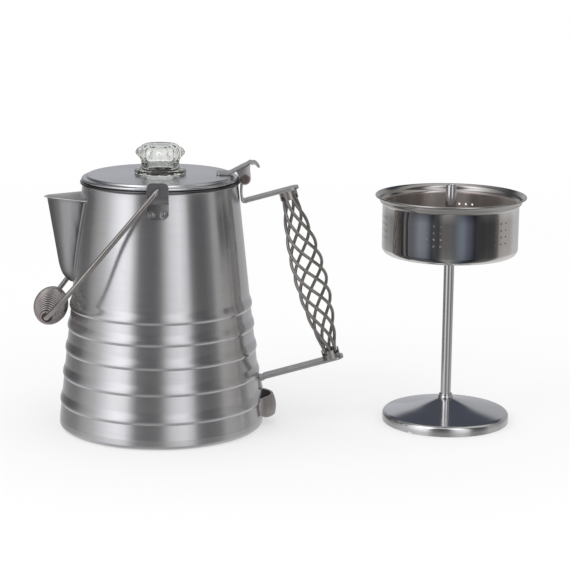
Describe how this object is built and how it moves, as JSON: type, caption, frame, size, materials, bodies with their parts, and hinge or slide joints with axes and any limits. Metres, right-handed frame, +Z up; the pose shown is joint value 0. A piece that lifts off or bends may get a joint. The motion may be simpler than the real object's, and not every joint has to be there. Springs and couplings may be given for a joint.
{
  "type": "coffee percolator",
  "caption": "Stainless steel camp percolator with spout, hinged lid, clear glass knob, wire side handle, bail with coil grip, and a lift-out pump with basket.",
  "frame": {"origin": "centre of the pot's flat base, on the floor", "axes": "+Z up; the spout points along -X, the side handle along +X, and the bail ears lie on -Y and +Y. The pump and basket stand beside the pot on +X"},
  "size_m": [0.3768, 0.1574, 0.2172],
  "materials": {
    "shell_steel": "brushed, fine horizontal grain",
    "lid_steel": "satin",
    "fitting_steel": "pickled satin",
    "wire_steel": "dull drawn wire",
    "pin_steel": "dark heat tint",
    "polished_steel": "polished",
    "clear_glass": "pressed clear glass"
  },
  "bodies": {
    "pot": {"pot_body": "shell_steel", "pot_bottom": "shell_steel", "spout": "shell_steel", "tilt_grip": "fitting_steel", "upper_handle_strap": "fitting_steel", "lower_handle_strap": "fitting_steel", "cage_cap_top": "wire_steel", "cage_cap_bottom": "wire_steel", "cage_wires": "wire_steel", "bail_ear_front": "fitting_steel", "bail_ear_rear": "fitting_steel"},
    "lid": {"lid": "lid_steel", "lid_collar": "lid_steel", "thumb_tab": "fitting_steel", "hinge_pin": "pin_steel"},
    "knob": {"lid_knob": "clear_glass"},
    "bail": {"bail_wire": "wire_steel"},
    "grip": {"bail_coil_grip": "wire_steel"},
    "pump": {"pump_base": "polished_steel", "pump_tube": "polished_steel", "tube_collar": "polished_steel", "basket_stop": "polished_steel"},
    "basket": {"basket": "polished_steel", "basket_hub": "polished_steel"}
  },
  "joints": [
    {"name": "lid_hinge", "type": "hinge", "parent": "pot", "child": "lid", "pos_m": [0.0639, 0, 0.1919], "axis": [0, 1, 0], "range_deg": [0, 100]},
    {"name": "knob_turn", "type": "hinge", "parent": "lid", "child": "knob", "pos_m": [0, 0, 0.195], "axis": [0, 0, 1], "range_deg": [0, 90]},
    {"name": "bail_swing", "type": "hinge", "parent": "pot", "child": "bail", "pos_m": [0, 0, 0.1916], "axis": [0, 1, 0], "range_deg": [0, 240]},
    {"name": "grip_spin", "type": "hinge", "parent": "bail", "child": "grip", "pos_m": [-0.0843, 0, 0.0923], "axis": [0, 1, 0], "continuous": true},
    {"name": "pump_lift", "type": "slide", "parent": "pot", "child": "pump", "axis": [0, 0, 1], "range_m": [0, 0.15]},
    {"name": "basket_slide", "type": "slide", "parent": "pump", "child": "basket", "axis": [0, 0, 1], "range_m": [0, 0.05]}
  ]
}
